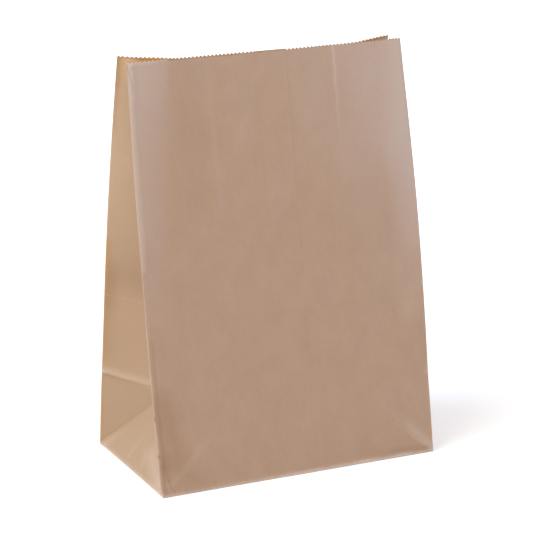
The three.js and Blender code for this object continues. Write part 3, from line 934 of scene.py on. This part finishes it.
def kraft_paper():
    """Machine-glazed kraft: fine upright fibre, faint clouding, wear on the folds, painted highlights and
    shade, and a sheen on the outside.
    """
    material = bpy.data.materials.new("kraft_paper")
    shader = Shader(material)
    place = shader.node("UVMap", {}, uv_map="sheet").outputs[0]
    cloud = shader.noise(place, CLOUDS, 4)
    fibre = shader.noise(place, FIBRES, 4)
    grain = shader.noise(place, GRAINS, 2)
    wobble = shader.vector("MULTIPLY", shader.math("SUBTRACT", cloud, 0.5), (WOBBLE * MM, WOBBLE * MM, 0))[0]
    drawn = shader.vector("ADD", place, wobble)[0]
    colour = marked_colour(shader, drawn, fibre, plain_colour(shader, place, cloud, fibre))
    inside = shader.value("inside")
    # the inside takes its colour with painted light coming through the paper
    colour = shader.mix(shader.math("MULTIPLY", inside, INSIDE_STRENGTH), colour, KRAFT_INSIDE_BACKLIT)
    glazed = shader.spread(cloud, NOISE_LOW, NOISE_HIGH, ROUGHNESS_LOW, ROUGHNESS_HIGH)
    rough = shader.math("ADD", glazed, shader.math("MULTIPLY", inside, INSIDE_ROUGHER))
    height = shader.math("ADD", grain, shader.math("MULTIPLY", fibre, FIBRE_BUMP))
    keys = {"Height": height, "Distance": BUMP_DEPTH * MM, "Strength": BUMP_STRENGTH}
    bump = shader.node("Bump", keys).outputs[0]
    keys = {"Base Color": colour, "Roughness": rough, "Normal": bump, "IOR": PAPER_IOR}
    paper = shader.node("BsdfPrincipled", keys).outputs[0]
    shader.node("OutputMaterial", {"Surface": paper})
    return material


# The bag
sheet = build_sheet()
add_flap(sheet, front, 0)
add_flap(sheet, back, 1)
bag = mesh_object("folded_paper", sheet)
bag.data.materials.append(kraft_paper())
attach(bag, "root")
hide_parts("paper_bag")

# Studio, in metres: a pale floor, a white surround and soft lights
WHITE = (1, 1, 1, 1)
FLOOR_SIZE = 12
FLOOR_COLOUR = (0.8, 0.8, 0.8, 1)
LIFT_NEAR, LIFT_FAR = 0.45, 0.8  # how much the floor is lifted towards white, near the bag and far away
LIFT_START, LIFT_END = 0.3, 1.0  # distances from the bag between which that changes
WORLD_LIGHT = 0.55
WORLD_COLOUR = (1, 0.91, 0.94, 1)
AIM = Vector((0, 0, 0.16))  # where the lights point


def floor_paint():
    """White board. Far from the bag it is seen as plain white, so no horizon shows."""
    material = bpy.data.materials.new("floor_paint")
    shader = Shader(material)
    board = shader.node("BsdfDiffuse", {"Color": FLOOR_COLOUR}).outputs[0]
    place = shader.node("TexCoord", {}).outputs["Object"]
    away = shader.node("VectorMath", {0: place}, operation="LENGTH").outputs["Value"]
    lift = shader.spread(away, LIFT_START, LIFT_END, LIFT_NEAR, LIFT_FAR)
    keys = {"Color": WHITE, "Strength": shader.math("MULTIPLY", lift, shader.seen())}
    glow = shader.node("Emission", keys).outputs[0]
    both = shader.node("AddShader", {0: board, 1: glow}).outputs[0]
    shader.node("OutputMaterial", {"Surface": both})
    return material


def studio_floor():
    half = FLOOR_SIZE / 2
    corners = [(-half, -half, 0), (half, -half, 0), (half, half, 0), (-half, half, 0)]
    mesh = bpy.data.meshes.new("floor")
    mesh.from_pydata(corners, [], [(0, 1, 2, 3)])
    mesh.materials.append(floor_paint())
    made = bpy.data.objects.new("floor", mesh)
    bpy.context.scene.collection.objects.link(made)
    return made


def studio_world():
    """A surround that lights the bag gently and is seen as white."""
    world = bpy.data.worlds.new("studio")
    shader = Shader(world)
    seen = shader.seen()
    colour = shader.mix(seen, WORLD_COLOUR, WHITE)
    strength = shader.spread(seen, 0, 1, WORLD_LIGHT, 1)
    around = shader.node("Background", {"Color": colour, "Strength": strength}).outputs[0]
    shader.node("OutputWorld", {"Surface": around})
    return world


def soft_light(name, place, size, power, colour):
    data = bpy.data.lights.new(name, "AREA")
    data.size = size
    data.energy = power
    data.color = colour
    lamp = bpy.data.objects.new(name, data)
    lamp.location = place
    lamp.rotation_euler = (AIM - Vector(place)).to_track_quat("-Z", "Y").to_euler()
    bpy.context.scene.collection.objects.link(lamp)


floor = studio_floor()
bpy.context.scene.world = studio_world()
soft_light("warm_key", place=(-1.85, -0.57, 1.45), size=1.8, power=32.8, colour=(1, 0.94, 0.75))
soft_light("cool_fill", place=(1.55, -1.85, 0.74), size=0.8, power=11.9, colour=(0.68, 0.82, 1))
soft_light("cool_top", place=(-0.9, 0.2, 1.75), size=1.0, power=14.4, colour=(0.61, 0.84, 1))

# Camera, where it stood for the photograph
CAMERA_PLACE = (-0.7301, -1.516, 0.6545)
CAMERA_YAW, CAMERA_PITCH, CAMERA_ROLL = map(math.radians, (-25.71, -16.926, 0.18))
CAMERA_LENS = 161.1
CAMERA_SENSOR = 36


def photo_camera():
    lens = bpy.data.cameras.new("camera")
    lens.lens = CAMERA_LENS
    lens.sensor_width = CAMERA_SENSOR
    made = bpy.data.objects.new("camera", lens)
    aim = Matrix.Rotation(CAMERA_YAW, 4, "Z") @ Matrix.Rotation(math.pi / 2 + CAMERA_PITCH, 4, "X")
    made.matrix_world = Matrix.Translation(CAMERA_PLACE) @ aim @ Matrix.Rotation(CAMERA_ROLL, 4, "Z")
    bpy.context.scene.collection.objects.link(made)
    return made


bpy.context.scene.camera = photo_camera()
bpy.context.scene.view_settings.view_transform = "Standard"
